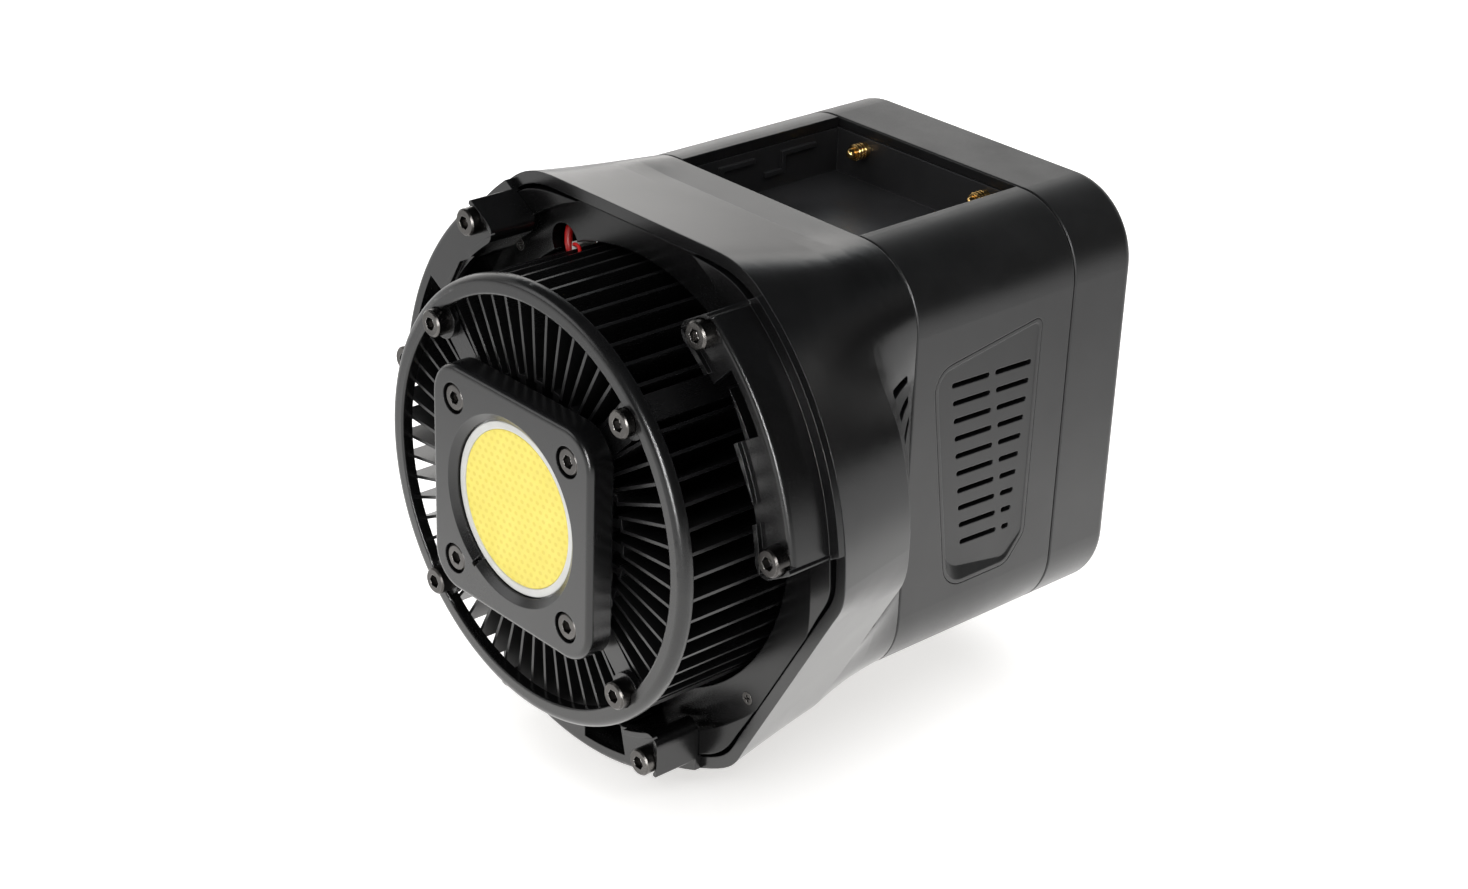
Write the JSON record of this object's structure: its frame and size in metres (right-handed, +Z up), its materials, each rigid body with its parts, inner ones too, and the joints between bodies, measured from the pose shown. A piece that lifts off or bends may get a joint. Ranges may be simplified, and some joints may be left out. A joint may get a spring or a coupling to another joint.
{
  "type": "studio light head",
  "caption": "Compact studio light head: round phosphor light source on a radial heatsink, lobed front collar with bayonet ring seats, box body with a top power bay and rear controls.",
  "frame": {"origin": "centre of the light-emitting surface, on the optical axis", "axes": "+Y runs along the optical axis from the light source to the rear, +Z up, +X to the right; light leaves towards -Y"},
  "size_m": [0.1224, 0.1345, 0.1147],
  "materials": {
    "phosphor": "matt silicone gel filled with yellow phosphor",
    "white_silicone": "satin white silicone",
    "bare_aluminium": "milled",
    "thermal_rubber": "matt",
    "satin_black_metal": "satin black paint",
    "black_oxide_steel": "black oxide",
    "bare_steel": "plated",
    "black_anodised": "black anodised, paler sheared fin edges",
    "black_plastic_gloss": "semi-gloss moulded",
    "collar_plastic": "smooth semi-gloss moulded",
    "textured_plastic": "fine spark-eroded texture",
    "tray_plastic": "smooth matt",
    "gold_plate": "gold plated",
    "fan_plastic": "moulded",
    "bronze": "sintered",
    "motor_iron": "laminated, lacquered",
    "circuit_board": "green solder mask",
    "copper_coil": "enamelled winding",
    "capacitor_can": "sleeved",
    "component_black": "moulded",
    "red_wire": "silicone insulation",
    "white_plug": "moulded nylon",
    "panel_plastic": "smooth satin",
    "display_glass": "dark tinted",
    "knob_plastic": "satin",
    "button_rubber": "satin",
    "switch_plastic": "moulded",
    "rocker_plastic": "moulded"
  },
  "bodies": {
    "housing": {"led_phosphor": "phosphor", "led_dam": "white_silicone", "led_substrate": "bare_aluminium", "thermal_pad": "thermal_rubber", "cob_holder": "satin_black_metal", "cob_holder_screws": "black_oxide_steel", "heatsink": "black_anodised", "front_ring": "satin_black_metal", "front_ring_screws": "black_oxide_steel", "front_baffle": "black_plastic_gloss", "baffle_screws": "black_oxide_steel", "ring_seat_right": "satin_black_metal", "ring_seat_left": "satin_black_metal", "ring_seat_bottom": "satin_black_metal", "ring_seat_screws": "black_oxide_steel", "collar": "collar_plastic", "mid_housing": "textured_plastic", "grille_right": "textured_plastic", "grille_left": "textured_plastic", "rear_cover": "textured_plastic", "rear_cover_screws": "black_oxide_steel", "bay_tray": "tray_plastic", "contact_sleeves": "gold_plate", "contact_springs": "bare_steel", "fan_frame": "fan_plastic", "fan_bearing": "bronze", "fan_motor": "motor_iron", "fan_screws": "black_oxide_steel", "driver_board": "circuit_board", "driver_screws": "bare_steel", "driver_coil": "copper_coil", "driver_capacitors": "capacitor_can", "driver_transistors": "component_black", "led_wire": "red_wire", "sensor_wires": "red_wire", "wire_connector": "white_plug", "control_board": "circuit_board", "control_panel": "panel_plastic", "display_window": "display_glass", "display_module": "component_black", "encoder_body": "bare_steel", "tact_switches": "component_black", "power_switch_body": "switch_plastic", "dc_socket": "component_black"},
    "fan": {"fan_rotor": "fan_plastic", "fan_shaft": "bare_steel"},
    "contact_left": {"contact_pin_left": "gold_plate"},
    "contact_right": {"contact_pin_right": "gold_plate"},
    "dimmer": {"dimmer_knob": "knob_plastic", "encoder_shaft": "bare_steel"},
    "mode_key": {"mode_button": "button_rubber"},
    "effect_key": {"effect_button": "button_rubber"},
    "rocker": {"power_rocker": "rocker_plastic"}
  },
  "joints": [
    {"name": "fan_spin", "type": "hinge", "parent": "housing", "child": "fan", "pos_m": [0, 0.052, 0], "axis": [0, 1, 0], "continuous": true},
    {"name": "contact_left_press", "type": "slide", "parent": "housing", "child": "contact_left", "axis": [0, 1, 0], "range_m": [0, 0.0013], "deforming": ["contact_springs"]},
    {"name": "contact_right_press", "type": "slide", "parent": "housing", "child": "contact_right", "axis": [0, 1, 0], "range_m": [0, 0.0013], "deforming": ["contact_springs"]},
    {"name": "dimmer_turn", "type": "hinge", "parent": "housing", "child": "dimmer", "pos_m": [0.018, 0.1242, 0.016], "axis": [0, 1, 0], "continuous": true},
    {"name": "mode_press", "type": "slide", "parent": "housing", "child": "mode_key", "axis": [0, -1, 0], "range_m": [0, 0.0008]},
    {"name": "effect_press", "type": "slide", "parent": "housing", "child": "effect_key", "axis": [0, -1, 0], "range_m": [0, 0.0008]},
    {"name": "power_tilt", "type": "hinge", "parent": "housing", "child": "rocker", "pos_m": [-0.016, 0.1182, -0.025], "axis": [0, 0, 1], "range_deg": [0, 16]}
  ]
}
